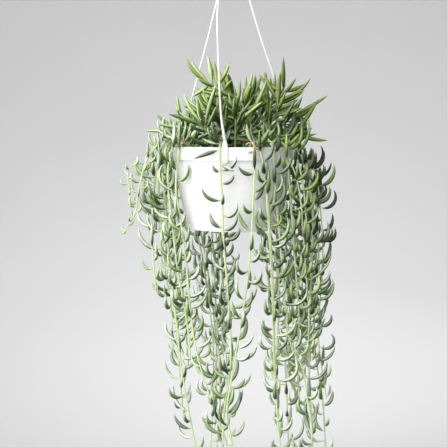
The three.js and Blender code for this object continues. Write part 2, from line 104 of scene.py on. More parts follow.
CLIP_REACH = RIM_RADIUS + GAP + CLIP_THICKNESS / 2

STEM_RADIUS = 1.3
STEM_STEP = 30
STRAND_STEP = 30
HOOK_LEAF = 30
STRAIGHT_LEAF = 36
HOOK_LEAF_RADIUS = 2.5
STRAIGHT_LEAF_RADIUS = 2.5
CLEARANCE = 0.7
LEAF_SPACING = 34
# How a leaf finds its place: the turns it tries, in degrees, and how finely it is tested and kept.
TURNS = (0, 25, -25, 50, -50, 80, -80, 115, -115, 150, -150, 180)
LEAF_CHECKS = 8
LEAF_PARTS = 3
MOST_SEGMENTS = 20000
FAR_REACH = 75
ON_ITS_OWN = 1000
# How finely the pieces are drawn.
LEAF_SIDES = 6
LEAF_RINGS = 8
STEM_SIDES = 7
STEM_RING_STEP = 5
BRANCH_RING_STEP = 9
SEGMENTS_AROUND = 96
CORNER_STEPS = 3

SOIL_RISE = 3
SHOULDER_OUT = 4
SHOULDER_DROP = 3
CREST_RADIUS = 69
CREST_LEAST_REACH = 76.6
CREST_DROP = 3.6
CREST_ZONE = -12
BARE_FOOT = 38
BARE_TIP = 3
YOUNG_LENGTH = 70
UPRIGHT_SHARE = 0.25
SMALL_LEAVED = {"trail_left_spray": 0.5}
# Seeds of the rows of random numbers, and a stem's own one for its leaves.
SEEDS = {"trail_front": 3580}
SHOOT_SEED = 11
LEAF_SEED = 100
BRANCH_SEED = 300
EXTRA_SEED = 500
CRUMB_SEED = 77
TINT_SEED = 37

MOUND_SHOOTS = 15
MOUND_RADIUS = 50
MOUND_HEIGHT = 54
MOUND_FALL = 24
MOUND_RISE = 0.18
MOUND_SPREAD = (1.15, 0.5)
MOUND_LEAVES = 7
BARE_SHOOT = 14

# Leaves that only this file adds. They may lie closer together, and a stem's own ones closer still.
EXTRA_CLEARANCE = 0.05
SISTER_CLEARANCE = -2.5
LENGTHS = (0.9, 1.5)
GIRTHS = (0.85, 1.15)
HOOK_CURL = 36
MOUND_GIRTH = 1.2
MOUND_TILT = (-24, 20)
MOUND_BEND = 35
EXTRA_MOUND_LEAVES = 40
CREST_LEAVES = 10
LEAVES_A_SPACE = 3
# Side branches: how many a stem carries, and the least share of the stem's length that they have.
BRANCHED = {
    "trail_left_2": (1, 0.25), "trail_left_3": (1, 0.3), "trail_left_4": (2, 0.2), "trail_left_5": (1, 0.3),
    "trail_back_1": (3, 0.7), "trail_back_2": (3, 0.7), "trail_back_6": (2, 0.6), "trail_back_7": (2, 0.6),
    "trail_right_1": (2, 0.6), "trail_right_2": (2, 0.6), "trail_right_3": (2, 0.7),
    "trail_right_4": (2, 0.6), "trail_right_5": (3, 0.5), "trail_right_6": (2, 0.6),
    "trail_right_7": (2, 0.6), "trail_right_8": (3, 0.6),
}
SPRAY_BRANCH = [(-106, -30, -20), (-117, -31, -20), (-127, -31, -27), (-127, -31, -44), (-124, -31, -66)]
# Single leaves: the height of the root on the stem, the way it points, both slopes, the length.
SINGLE_LEAVES = {
    "trail_front": [
        (-3, 188, -14, -24, 32), (-20, 4, -10, -24, 24), (-28, 168, -8, 100, 14), (-41, -8, -15, 85, 21),
        (-66, -84, 10, 95, 20), (-78, -4, -25, 100, 30), (-93, 176, 5, 100, 27), (-106, 2, -22, 95, 28),
    ],
    "trail_front_right": [(-30, 200, -20, 70, 24), (-52, -40, 20, 60, 26), (-72, 188, -28, 75, 27)],
}
SINGLES_END = -112
HUSKS = {"trail_front_right": 10, "trail_right_1": 4, "trail_left_1": 3, "trail_back_4": 5, "shoot_5": 4}
BRANCH_START = 46
BRANCH_RAMP = 48
BRANCH_OFFSETS = (7, 9.5, 12)
BRANCH_LEAF_SPACING = 14
BRANCH_CLEARANCE = 1.5
BRANCH_GIRTH = 0.72
# The bare place over the soil at the front of the rim: its lowest and highest corner.
BARE_LOW = (-8, -82, -14)
BARE_HIGH = (28, -42, 7)
BOX_SLACK = 1

# Trailing stems: the foot's radius, the crest's height over the rim, then the hanging route.
TRAILING = {
    "trail_front": [60, 5.5, (-17, -79, -9), (-14, -78, -60), (-12, -76, -110), (-6, -78, -188),
        (-4, -82, -255), (-12, -84, -317), (-13, -85, -395), (-9, -84, -440)],
    "trail_front_right": [60, 5.5, (24, -76, -9), (22, -79, -60), (20, -81, -100), (15, -84, -155),
        (6, -89, -215), (-4, -94, -272), (-8, -96, -308), (-1, -96, -351), (2, -95, -405)],
    "trail_left_1": [60, 5.5, (-66, -43, -9), (-69, -43, -51), (-63, -46, -90), (-57, -48, -140),
        (-51, -50, -205), (-45, -51, -246), (-33, -53, -288), (-21, -55, -323), (-8, -57, -361),
        (0, -57, -415)],
    "trail_left_2": [56, 10, (-87, -20, -10), (-84, -20, -65), (-79, -20, -139), (-72, -20, -205),
        (-66, -20, -265), (-58, -21, -318), (-48, -22, -375), (-43, -22, -425)],
    "trail_left_3": [52, 8, (-76, -35, -9), (-79, -38, -40), (-74, -40, -90), (-68, -40, -145),
        (-60, -40, -192), (-55, -38, -228), (-53, -36, -262)],
    "trail_left_4": [60, 12, (-90, 0, -6), (-93, 0, -40), (-90, 1, -100), (-86, 2, -154), (-79, 2, -200),
        (-76, 0, -262)],
    "trail_left_5": [60, 8, (-82, 13, -8), (-85, 14, -50), (-83, 14, -110), (-78, 12, -180), (-72, 11, -240),
        (-68, 10, -300), (-64, 8, -350)],
    "trail_left_6": [60, 10, (-84, -9, -2), (-96, -11, -40), (-100, -13, -85), (-100, -14, -130),
        (-96, -14, -180)],
    "trail_left_spray": [46, 14, (-84, -28, 8), (-97, -30, -4), (-107, -31, -22), (-114, -31, -50),
        (-119, -30, -78), (-128, -30, -95), (-137, -30, -107)],
    "trail_back_1": [60, 5.5, (-52, 60, -9), (-52, 62, -60), (-48, 68, -110), (-39, 76, -160),
        (-31, 78, -222), (-26, 78, -275), (-27, 78, -350), (-30, 78, -420)],
    "trail_back_2": [60, 5.5, (-28, 74, -9), (-29, 76, -60), (-28, 72, -115), (-25, 66, -150),
        (-23, 62, -205), (-18, 60, -290), (-17, 60, -341), (-15, 60, -400)],
    "trail_back_3": [60, 5.5, (-70, 37, -9), (-72, 38, -70), (-68, 34, -150), (-62, 30, -230),
        (-58, 28, -290)],
    "trail_back_4": [60, 5.5, (-8, 79, -9), (-10, 80, -80), (-14, 78, -140), (-12, 76, -205)],
    "trail_back_5": [60, 5.5, (14, 78, -9), (14, 79, -50), (12, 77, -92)],
    "trail_back_6": [60, 5.5, (36, 70, -9), (37, 71, -55), (40, 68, -100), (46, 62, -160), (50, 60, -220)],
    "trail_back_7": [60, 5.5, (56, 56, -9), (58, 57, -70), (58, 50, -140), (60, 44, -220), (58, 41, -300),
        (62, 38, -370)],
    "trail_right_1": [60, 5.5, (31, -72, -9), (37, -71, -35), (41, -70, -86), (44, -70, -125),
        (47, -71, -191), (48, -71, -237), (52, -71, -319), (57, -71, -370), (62, -71, -435)],
    "trail_right_2": [54, 7, (46, -64, -9), (48, -64, -45), (52, -63, -90), (57, -63, -142), (62, -63, -197),
        (69, -63, -238), (82, -63, -262), (87, -64, -295), (94, -65, -338), (92, -65, -385), (94, -65, -440)],
    "trail_right_3": [60, 9, (74, -43, -10), (82, -44, -42), (86, -45, -80), (88, -46, -122), (81, -47, -155),
        (71, -48, -190), (64, -48, -226), (63, -48, -262), (66, -48, -325), (68, -48, -400), (65, -48, -445)],
    "trail_right_4": [60, 10, (89, -15, -10), (98, -17, -48), (103, -18, -90), (105, -19, -145),
        (102, -20, -190), (100, -20, -228), (105, -20, -275), (112, -20, -315), (116, -20, -370),
        (117, -20, -430)],
    "trail_right_5": [52, 9, (81, -29, -8), (90, -31, -40), (96, -32, -88), (94, -33, -145), (93, -33, -220),
        (94, -33, -289), (98, -33, -350), (99, -33, -405)],
    "trail_right_6": [60, 10, (85, 6, -8), (95, 6, -40), (93, 6, -90), (89, 5, -150), (86, 4, -210),
        (85, 2, -265)],
    "trail_right_7": [60, 6, (62, -50, -9), (66, -52, -50), (70, -54, -100), (74, -55, -150), (78, -55, -205),
        (77, -54, -255), (80, -54, -310)],
    "trail_right_8": [60, 6, (68, 41, -9), (75, 38, -60), (75, 33, -130), (78, 30, -200), (80, 28, -280),
        (84, 26, -350)],
}

# Shoots of the mound that stand out by name: the foot, then the way up to the tip.
TALL_SHOOTS = [
    [(22, -26), (20, -30, 30), (6, -34, 56), (-12, -36, 66), (-32, -36, 76)],
    [(36, -12), (42, -16, 26), (50, -20, 50), (62, -24, 68)],
    [(16, 2), (18, -2, 34), (23, -9, 62)],
    [(-8, -18), (-12, -26, 30), (-22, -36, 52)],
    [(30, 12), (38, 10, 30), (46, 6, 54)],
    [(54, -12), (66, -15, 12), (82, -18, 14)],
]

# Where the strands' clips stand round the rim, in degrees, and each strand's way up to the hub.
CLIP_ANGLES = {"strand_front": -98, "strand_left": 143, "strand_right": 23}
STRAND_BOWS = {
    "strand_front": [(-15.5, -66, 42), (-18.5, -42, 110), (-18.5, -18, 172)],
    "strand_left": [(-53, 37, 57), (-31.5, 22, 135)],
    "strand_right": [(54, 22, 76), (32, 14, 140)],
}

# How ripe a stem's leaves are: 0 is all young, pale and yellow, 1 is ripe.
RIPENESS = {
    "trail_left_spray": 0.15, "shoot_1": 0.3, "shoot_2": 0.9, "trail_right_7": 0.45, "trail_left_1": 0.6,
    "trail_right_3": 1.1, "trail_right_6": 1.2,
}
COMMON_RIPENESS = (0.8, 1.25)
TONE_SPREAD = (0.75, 1.2)
# How much painted highlight the leaves carry: less from left to right near the rim, where the mound shades
# them from the window lamp, and more further down.
HIGHLIGHT_SHARE = {"trail_front": 0.85, "trail_left_spray": 1.2}
HIGHLIGHT_MIDDLE = 0.95
HIGHLIGHT_FALL = 0.0115
HIGHLIGHT_RISE = 0.0015
HIGHLIGHT_SPREAD = (0.35, 1.5)
SIDE_HEIGHT = 350
# How much more of the leaves are deep green: some at random, more from left to right as painted shade away
# from the window lamp; and a stem with one green for all.
DEPTH_MIDDLE = 0.3
SHADE_RISE = 0.018
ONE_GREEN = {"trail_front": 0.08}


# ---- Routes and placing ----

def seeded_random(seed):
    """The same seed always gives the same row of numbers, each between the limits asked for."""
    state = seed

    def draw(low=0, high=1):
        nonlocal state
        state = (state * 1664525 + 1013904223) % 4294967296
        return low + (high - low) * (state / 4294967296)

    return draw


def polar(radius, angle, height=0):
    """The point at a radius and an angle round the pot's axis."""
    return radius * cos(angle), radius * sin(angle), height


def slopes(first, last):
    """A leaf's slopes at its root and its tip, from degrees."""
    return [radians(first), radians(last)]


def soil_height(x, y):
    return SOIL_TOP + SOIL_RELIEF * sin(x * 0.19 + 1) * cos(y * 0.23)


def smooth_point(route, span, share):
    """A point on the smooth curve through the route, part of the way along one of its spans."""
    here, ahead = route[span], route[span + 1]
    before = route[span - 1] if span > 0 else 2 * here - ahead
    beyond = route[span + 2] if span + 2 < len(route) else 2 * ahead - here
    slope_here, slope_ahead = 0.5 * (ahead - before), 0.5 * (beyond - here)
    square = -3 * here + 3 * ahead - 2 * slope_here - slope_ahead
    cube = 2 * here - 2 * ahead + slope_here + slope_ahead
    return here + slope_here * share + square * share ** 2 + cube * share ** 3


def points_along(route, step):
    """Points on a smooth curve through the route, about one step apart."""
    route = [np.array(point, dtype=float) for point in route]
    points = []
    for span in range(len(route) - 1):
        length = np.linalg.norm(route[span + 1] - route[span])
        parts = max(1, floor(length / step + 0.5))
        points += [smooth_point(route, span, part / parts) for part in range(parts)]
    points.append(route[-1])
    return np.array(points)


def chain_length(points):
    return float(np.linalg.norm(np.diff(points, axis=0), axis=1).sum())


def point_at(points, distance):
    """The point at a distance along a chain of points."""
    left = distance
    for first, second in zip(points[:-1], points[1:]):
        length = float(np.linalg.norm(second - first))
        if left <= length:
            return first + (second - first) * (left / length)
        left -= length
    return points[-1]


def pot_radius(height):
    taper = (NECK_RADIUS - BASE_RADIUS) / (POT_HEIGHT - RIM_BAND - NECK_BAND)
    if height > -RIM_BAND:
        return RIM_RADIUS
    return NECK_RADIUS - taper * max(0, -height - RIM_BAND - NECK_BAND)


def trailing_route(data):
    """From the soil up over the rim at the crest, then down the hanging route."""
    foot_radius, crest, *hanging = data
    x, y, _ = hanging[0]
    angle = atan2(y, x)
    reach = max(CREST_LEAST_REACH, (CREST_RADIUS + hypot(x, y)) / 2)
    over_the_rim = [
        (foot_radius, SOIL_TOP - FOOT_DEPTH), (foot_radius, SOIL_TOP + SOIL_RISE),
        (foot_radius + SHOULDER_OUT, crest - SHOULDER_DROP), (CREST_RADIUS, crest),
        (reach, crest - CREST_DROP),
    ]
    return [polar(radius, angle, height) for radius, height in over_the_rim] + hanging


def shoot_routes():
    """The named shoots, then the ruled ones, lower towards the rim and higher on the right."""
    shoots = list(TALL_SHOOTS)
    random = seeded_random(SHOOT_SEED)
    for index in range(MOUND_SHOOTS):
        share = sqrt((index + 0.5) / MOUND_SHOOTS)
        x, y, _ = polar(MOUND_RADIUS * share, radians(index * GOLDEN + 30))
        top = (MOUND_HEIGHT + MOUND_RISE * x - MOUND_FALL * share * share) * random(0.85, 1.15)
        reach = MOUND_SPREAD[0] + MOUND_SPREAD[1] * share
        half = (1 + reach) / 2
        shoots.append([(x, y), (x * half, y * half, top * 0.55), (x * reach, y * reach, top)])
    low, high = SOIL_TOP - FOOT_DEPTH, SOIL_TOP + SOIL_RISE
    return [[(x, y, low), (x, y, high), *way] for (x, y), *way in shoots]


def stem_routes():
    """The routes of all the stems and shoots, by name."""
    routes = {name: trailing_route(data) for name, data in TRAILING.items()}
    for index, route in enumerate(shoot_routes()):
        routes[f"shoot_{index + 1}"] = route
    return routes


def strand_route(name):
    bow = STRAND_BOWS[name]
    top_x, top_y = bow[-1][0] - HUB_X, bow[-1][1]
    inward = (HUB_RADIUS - 3) / hypot(top_x, top_y)
    start = polar(CLIP_REACH, radians(CLIP_ANGLES[name]), CLIP_TOP - 2)
    end = (HUB_X + top_x * inward, top_y * inward, HUB_HEIGHT - HUB_THICKNESS / 2 - GAP - 0.5)
    return [start, *bow, end]


class Room:
    """Round things that a leaf keeps clear of: segments with a radius and an owner."""

    def __init__(self):
        self.starts = np.zeros((MOST_SEGMENTS, 3))
        self.ends = np.zeros((MOST_SEGMENTS, 3))
        self.radii = np.zeros(MOST_SEGMENTS)
        self.owners = np.zeros(MOST_SEGMENTS, dtype=int)
        self.count = 0

    def add(self, points, radius, owner):
        for first, second in zip(points[:-1], points[1:]):
            self.starts[self.count] = first
            self.ends[self.count] = second
            self.radii[self.count] = radius
            self.owners[self.count] = owner
            self.count += 1

    def others_near(self, place, owner):
        """The segments of other owners that something at the place could reach."""
        reach = np.abs(self.starts[:self.count] - place).max(axis=1)
        return np.nonzero((reach < FAR_REACH) & (self.owners[:self.count] != owner))[0]

    def is_free(self, points, radius, slack, owner, clearance, others):
        """Whether round points, with some slack between them, keep clear of the other segments."""
        start, end = self.starts[others], self.ends[others]
        line = end - start
        offset = points[:, None, :] - start[None]
        share = np.clip((offset * line).sum(axis=2) / (line * line).sum(axis=1), 0, 1)
        distance = np.linalg.norm(offset - share[:, :, None] * line, axis=2)
        clearance = np.where(self.owners[others] == owner + ON_ITS_OWN, SISTER_CLEARANCE, clearance)
        room = np.hypot(radius + self.radii[others] + clearance, slack)
        return bool((distance > room).all())


def clear_of_pot(point, radius, clearance):
    x, y, z = point
    room = radius + clearance
    reach = hypot(x, y)
    outside = z > room or z < -POT_HEIGHT - room or reach > pot_radius(z) + room
    inside = reach < RIM_RADIUS - WALL - 3 - room and z > SOIL_TOP + SOIL_RELIEF + room
    return outside or inside


def leaf_spine(leaf, segments):
    """A leaf's spine starts in the stem and sweeps in one plane from the first slope to the last."""
    points = [np.array(leaf["root"], dtype=float)]
    first, last = leaf["slopes"]
    for index in range(segments):
        slope = first + (last - first) * (index + 0.5) / segments
        ahead = np.array(polar(cos(slope), leaf["azimuth"], sin(slope)))
        points.append(points[-1] + ahead * leaf["length"] / segments)
    return np.array(points)


def has_place(points):
    """The added leaves leave the bare soil free and stay in the solids' own box."""
    over_soil = ((points > BARE_LOW) & (points < BARE_HIGH)).all(axis=1).any()
    low, high = (np.array(corner) / MM + (0, 0, RIM_DROP) for corner in (cad_low, cad_high))
    in_box = (points > low - BOX_SLACK).all() and (points < high + BOX_SLACK).all()
    return in_box and not over_soil


def place_leaf(room, leaf, owner, clearance=CLEARANCE):
    """Turns the leaf about its stem until it is clear of all other stems and leaves, or leaves it out."""
    added = clearance < CLEARANCE
    others = room.others_near(leaf["root"], owner)
    for turn in TURNS:
        turned = dict(leaf, azimuth=leaf["azimuth"] + radians(turn))
        checks = leaf_spine(turned, LEAF_CHECKS)[1:]
        if not all(clear_of_pot(point, leaf["radius"], clearance) for point in checks):
            continue
        if added and not has_place(checks):
            continue
        if room.is_free(checks, leaf["radius"], leaf["length"] / LEAF_CHECKS / 2, owner, clearance, others):
            room.add(leaf_spine(turned, LEAF_PARTS), leaf["radius"], owner + (ON_ITS_OWN if added else 0))
            return [turned]
    return []


def place_varied(room, leaf, owner, random, curl=HOOK_CURL, girth=1):
    """The added leaves differ more in length and girth than the solids' leaves, and curl up more."""
    first, last = leaf["slopes"]
    down = radians(random(0, curl / 2))
    up = radians(random(0, curl))
    leaf["slopes"] = [first - down, last + up]
    leaf["length"] *= random(*LENGTHS)
    leaf["radius"] *= girth * random(*GIRTHS)
    return place_leaf(room, leaf, owner, EXTRA_CLEARANCE)


def trailing_leaf(stem, left, turn, size, random):
    """A hook leaf on a trailing stem, with some length of stem left beyond it."""
    root = point_at(stem, chain_length(stem) - BARE_TIP - left)
    age = min(1, (left + BARE_TIP) / YOUNG_LENGTH)
    raised = random() < UPRIGHT_SHARE or root[2] > CREST_ZONE
    first_slope = random(5, 45) if raised else random(-30, 5)
    return {
        "root": root,
        "slopes": slopes(first_slope, random(75, 115)),
        "azimuth": radians(turn + random(0, 50)),
        "length": HOOK_LEAF * size * (0.5 + 0.5 * age) * random(0.85, 1.12),
        "radius": HOOK_LEAF_RADIUS * size ** 0.5 * (0.62 + 0.38 * age) * random(0.85, 1.05),
        "age": age,
    }


def hanging_leaves(room, stem, size, lefts, start, owner, random):
    """Hook leaves with these lengths of stem left beyond them: added ones lie below the start height."""
    phase = random(0, 360)
    leaves = []
    for index, left in lefts:
        leaf = trailing_leaf(stem, left, phase + index * GOLDEN, size, random)
        if start is None:
            leaves += place_leaf(room, leaf, owner)
        elif leaf["root"][2] < start:
            leaves += place_varied(room, leaf, owner, random)
    return leaves


def trailing_leaves(room, stem, size, owner, random):
    """The leaves that the solids have too."""
    run = chain_length(stem) - BARE_FOOT - BARE_TIP
    last = floor(run / LEAF_SPACING)
    lefts = [(index, run * (last - index) / max(1, last)) for index in range(last + 1)]
    return hanging_leaves(room, stem, size, lefts, None, owner, random)


def extra_trailing_leaves(room, stem, size, start, owner, random):
    """The leaves between the solids' leaves."""
    run = chain_length(stem) - BARE_FOOT - BARE_TIP
    count = LEAVES_A_SPACE * floor(run / LEAF_SPACING / size)
    added = [index for index in range(count) if index % LEAVES_A_SPACE or size < 1]
    lefts = [(index, run * (1 - index / count)) for index in added]
    return hanging_leaves(room, stem, size, lefts, start, owner, random)


def single_leaves(room, stem, table, owner):
    """Leaves that stand at set heights on a stem that hangs in front of the pot."""
    leaves = []
    for height, azimuth, first, last, length in table:
        outside = next(index for index in range(4, len(stem) - 1) if stem[index + 1][2] < height)
        upper, lower = stem[outside], stem[outside + 1]
        root = upper + (lower - upper) * max(0, (upper[2] - height) / (upper[2] - lower[2]))
        leaf = {"root": root, "azimuth": radians(azimuth), "slopes": slopes(first, last),
                "length": length, "radius": HOOK_LEAF_RADIUS * min(1, 0.55 + length / 60), "age": 1}
        leaves += place_leaf(room, leaf, owner, EXTRA_CLEARANCE)
    return leaves


def husks(stem, count, random):
    """Dried leaves that cling to a stem where it lies over the rim, or to the foot of a shoot."""
    leaves = []
    for index in range(count):
        first = random(-70, 60)
        leaves.append({
            "root": point_at(stem, random(FOOT_DEPTH + 10, BARE_FOOT + 14)),
            "azimuth": radians(index * GOLDEN), "dry": 1, "age": 1,
            "slopes": slopes(first, first + random(-150, 150)),
            "length": random(9, 19), "radius": random(0.7, 1.2),
        })
    return leaves


def branch_points(room, stem, share, owner, random):
    """A side branch that leaves the stem below the rim and hangs beside it, clear of all others."""
    start = BRANCH_START * random(0.8, 1.6)
    length = (chain_length(stem) - start) * random(share, share + 0.3)
    parts = max(2, round(length / STEM_STEP))
    phase = random(0, 360)
    others = np.nonzero(room.owners[:room.count] != owner)[0]
    for offset in BRANCH_OFFSETS:
        for turn in range(0, 360, 30):
            aside = np.array(polar(offset, radians(phase + turn)))
            points = []
            for part in range(parts + 1):
                distance = length * part / parts
                ramp = min(1, distance / BRANCH_RAMP)
                points.append(point_at(stem, start + distance) + aside * ramp ** 2 * (3 - 2 * ramp))
            points = np.array(points)
            middles = (points[1:] + points[:-1]) / 2
            checks = np.concatenate([points, middles])
            if not all(clear_of_pot(point, STEM_RADIUS, CLEARANCE) for point in checks):
                continue
            if room.is_free(checks, STEM_RADIUS, STEM_STEP / 8, owner, BRANCH_CLEARANCE, others):
                return points
    return None


def branch_leaves(room, points, size, owner, random):
    run = chain_length(points) - BRANCH_RAMP / 2 * size
    count = floor(run / BRANCH_LEAF_SPACING / size) + 1
    lefts = [(index, run * index / count) for index in range(count)]
    return hanging_leaves(room, points, size, lefts, inf, owner, random)


def crest_leaves(room, stem, owner, random):
    """Straight leaves on the part of a trailing stem that lies over the rim."""
    phase = random(0, 360)
    leaves = []
    for index in range(CREST_LEAVES):
        distance = random(FOOT_DEPTH + 4, BARE_FOOT + 10)
        slope = random(8, 62)
        leaf = {
            "root": point_at(stem, distance),
            "slopes": slopes(slope - 10, slope + 22),
            "azimuth": radians(phase + index * GOLDEN),
            "length": STRAIGHT_LEAF * random(0.6, 0.95),
            "radius": HOOK_LEAF_RADIUS * random(0.85, 1.1),
            "age": random(0.6, 1),
        }
        leaves += place_leaf(room, leaf, owner, EXTRA_CLEARANCE)
    return leaves


def shoot_leaf(stem, rise, turn, random):
    """A straight leaf on an upright shoot, nearer to the shoot's own direction towards its tip."""
    first = FOOT_DEPTH + BARE_SHOOT
    distance = first + (chain_length(stem) - first - 1) * rise
    root = point_at(stem, distance)
    ahead = point_at(stem, distance + 1) - point_at(stem, distance - 4)
    ahead /= np.linalg.norm(ahead)
    across = np.array([-ahead[2], 0, ahead[0]])
    across /= np.linalg.norm(across)
    third = np.cross(ahead, across)
    turn = radians(turn + random(0, 40))
    spread = radians(random(52, 96) - 42 * rise)
    way = ahead * cos(spread) + (across * cos(turn) + third * sin(turn)) * sin(spread)
    slope = asin(way[2])
    return {
        "root": root,
        "slopes": [slope - radians(8), slope + radians(12)],
        "azimuth": atan2(way[1], way[0]),
        "length": STRAIGHT_LEAF * random(0.8, 1.15),
        "radius": STRAIGHT_LEAF_RADIUS * random(0.82, 1.02),
        "age": 1 - 0.5 * rise,
    }


def shoot_leaves(room, stem, owner, random):
    phase = random(0, 360)
    leaves = []
    for index in range(MOUND_LEAVES):
        rise = sqrt((index + 0.5) / MOUND_LEAVES)
        leaves += place_leaf(room, shoot_leaf(stem, rise, phase + index * GOLDEN, random), owner)
    return leaves


def extra_shoot_leaves(room, stem, owner, random):
    """The leaves between the solids' leaves, down to the soil."""
    phase = random(0, 360)
    leaves = []
    for index in range(EXTRA_MOUND_LEAVES):
        rise = (index + 0.3) / EXTRA_MOUND_LEAVES
        leaf = shoot_leaf(stem, rise, phase + index * GOLDEN, random)
        tilt = radians(random(*MOUND_TILT))
        bend = radians(random(-MOUND_BEND, MOUND_BEND))
        leaf["slopes"] = [leaf["slopes"][0] + tilt, leaf["slopes"][1] + tilt + bend]
        leaves += place_varied(room, leaf, owner, random, 0, MOUND_GIRTH)
    return leaves


def grow(routes):
    """Every stem's leaves, placed as in the solids, then its side branches and the leaves between."""
    stems = {name: points_along(route, STEM_STEP) for name, route in routes.items()}
    owners = {name: index for index, name in enumerate([*stems, *CLIP_ANGLES])}
    room = Room()
    for name, points in stems.items():
        room.add(points, STEM_RADIUS, owners[name])
    for name, degrees in CLIP_ANGLES.items():
        room.add(points_along(strand_route(name), STRAND_STEP), STRAND_ROD, owners[name])
        line = [polar(CLIP_REACH, radians(degrees), height) for height in (CLIP_TOP, -RIM_BAND - 3)]
        room.add(line, CLIP_WIDTH / 2 + GAP, owners[name])
    leaves, stems_end = {}, room.count
    for name, points in stems.items():
        owner = owners[name]
        random = seeded_random(SEEDS.get(name, LEAF_SEED + owner))
        if name.startswith("shoot"):
            leaves[name] = shoot_leaves(room, points, owner, random)
        else:
            leaves[name] = trailing_leaves(room, points, SMALL_LEAVED.get(name, 1), owner, random)
    room.owners[stems_end:room.count] += ON_ITS_OWN
    branches = {name: [] for name in stems}
    branches["trail_left_spray"].append(points_along(SPRAY_BRANCH, 8))
    for index, (name, (count, share)) in enumerate(BRANCHED.items()):
        random = seeded_random(BRANCH_SEED + index)
        for _ in range(count):
            points = branch_points(room, stems[name], share, owners[name], random)
            if points is not None:
                room.add(points, STEM_RADIUS, owners[name])
                branches[name].append(points)
    for name, points in stems.items():
        owner = owners[name]
        random = seeded_random(EXTRA_SEED + owner)
        leaves[name] += husks(points, HUSKS.get(name, 0), random)
        if name.startswith("shoot"):
            leaves[name] += extra_shoot_leaves(room, points, owner, random)
            continue
        size = SMALL_LEAVED.get(name, 1)
        start = SINGLES_END if name in SINGLE_LEAVES else SOIL_TOP + HOOK_LEAF
        leaves[name] += single_leaves(room, points, SINGLE_LEAVES.get(name, []), owner)
        leaves[name] += extra_trailing_leaves(room, points, size, start, owner, random)
        leaves[name] += crest_leaves(room, points, owner, random)
        for branch in branches[name]:
            leaves[name] += branch_leaves(room, branch, size, owner, random)
    return leaves, branches


# ---- Mesh helpers ----

def path_functions(points):
    count = len(points) - 1

    def centre(share):
        place = share * count
        index = min(count - 1, int(place))
        return points[index] + (points[index + 1] - points[index]) * (place - index)

    return centre, count


def swept(bm, centre, radius, side, sides, rings):
    """A closed round form along a path. centre and radius take the share of the length, 0 to 1."""
    made = bmesh.ops.create_uvsphere(bm, u_segments=sides, v_segments=rings, radius=1.0)["verts"]
    shares = {}
    for vertex in made:
        shares[vertex] = acos(max(-1.0, min(1.0, -vertex.co.z))) / pi
    frames = {}
    for ring in range(rings + 1):
        share = ring / rings
        ahead = Vector(centre(min(1.0, share + 0.5 / rings))) - Vector(centre(max(0.0, share - 0.5 / rings)))
        ahead.normalize()
        across = Vector(side)
        across = (across - ahead * across.dot(ahead)).normalized()
        frames[ring] = (Vector(centre(share)), across, ahead.cross(across), radius(share))
    for vertex, share in shares.items():
        ring = round(share * rings)
        middle, across, third, girth = frames[ring]
        if ring in (0, rings):
            vertex.co = middle
            continue
        angle = atan2(vertex.co.y, vertex.co.x)
        vertex.co = middle + (across * cos(angle) + third * sin(angle)) * girth
    return shares


def as_object(bm, name, smooth=True):
    mesh = bpy.data.meshes.new(name)
    bm.to_mesh(mesh)
    bm.free()
    for polygon in mesh.polygons:
        polygon.use_smooth = smooth
    piece = bpy.data.objects.new(name, mesh)
    bpy.context.collection.objects.link(piece)
    return piece


def finish_mesh(bm, name, smooth=True):
    """The bmesh as an object in metres, in the frame's own place."""
    bmesh.ops.scale(bm, vec=(MM, MM, MM), verts=bm.verts)
    bmesh.ops.translate(bm, vec=(0, 0, -RIM_DROP * MM), verts=bm.verts)
    return as_object(bm, name, smooth)


def dress(piece, material, replaced):
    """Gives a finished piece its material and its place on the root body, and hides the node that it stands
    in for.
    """
    piece.data.materials.append(material)
    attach(piece, "root")
    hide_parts(replaced)


# ---- Materials ----

class Paint:
    """A material in the making: each method adds a node and gives the output that carries its result."""

    def __init__(self, name):
        self.material = bpy.data.materials.new(name)
        self.material.use_nodes = True
        self.nodes = self.material.node_tree.nodes
        self.links = self.material.node_tree.links

    def feed(self, node, values):
        """Links outputs to the node's sockets, or sets them to plain numbers and colours."""
        for key, value in values.items():
            socket = node.inputs[key]
            if isinstance(value, bpy.types.NodeSocket):
                self.links.new(value, socket)
            else:
                socket.default_value = (*value, 1) if socket.type == "RGBA" else value

    def add(self, kind, output, values=None, **settings):
        node = self.nodes.new(f"ShaderNode{kind}")
        for key, value in settings.items():
            setattr(node, key, value)
        self.feed(node, values or {})
        return node.outputs[output]

    def noise(self, scale, detail, place=None):
        if place is None:
            place = self.add("TexCoord", "Object")
        return self.add("TexNoise", "Fac", {"Scale": scale, "Detail": detail, "Vector": place})

    def ramp(self, source, stops):
        """Colours by a value: stops are (place, (r, g, b))."""
        node = self.nodes.new("ShaderNodeValToRGB")
        elements = node.color_ramp.elements
        while len(elements) < len(stops):
            elements.new(0.5)
        for element, (place, colour) in zip(elements, stops):
            element.position = place
            element.color = (*colour, 1)
        self.feed(node, {"Fac": source})
        return node.outputs["Color"]

    def mix(self, share, first, second, blend="MIX"):
        values = {"Factor": share, "A": first, "B": second}
        return self.add("Mix", "Result", values, data_type="RGBA", blend_type=blend)

    def attribute(self, name):
        return self.add("Attribute", "Fac", attribute_name=name)

    def fitted(self, source, low, high, to_low=0.0, to_high=1.0):
        """A value moved from one range to another and kept inside it."""
        values = {"Value": source, "From Min": low, "From Max": high, "To Min": to_low, "To Max": to_high}
        return self.add("MapRange", "Result", values)

    def multiplied(self, first, second):
        return self.add("Math", "Value", {0: first, 1: second}, operation="MULTIPLY", use_clamp=True)

    def bump(self, height, strength, distance):
        return self.add("Bump", "Normal", {"Strength": strength, "Distance": distance, "Height": height})

    def finished(self, values):
        """The material, with these values on its shader's own sockets."""
        self.feed(self.nodes["Principled BSDF"], values)
        return self.material


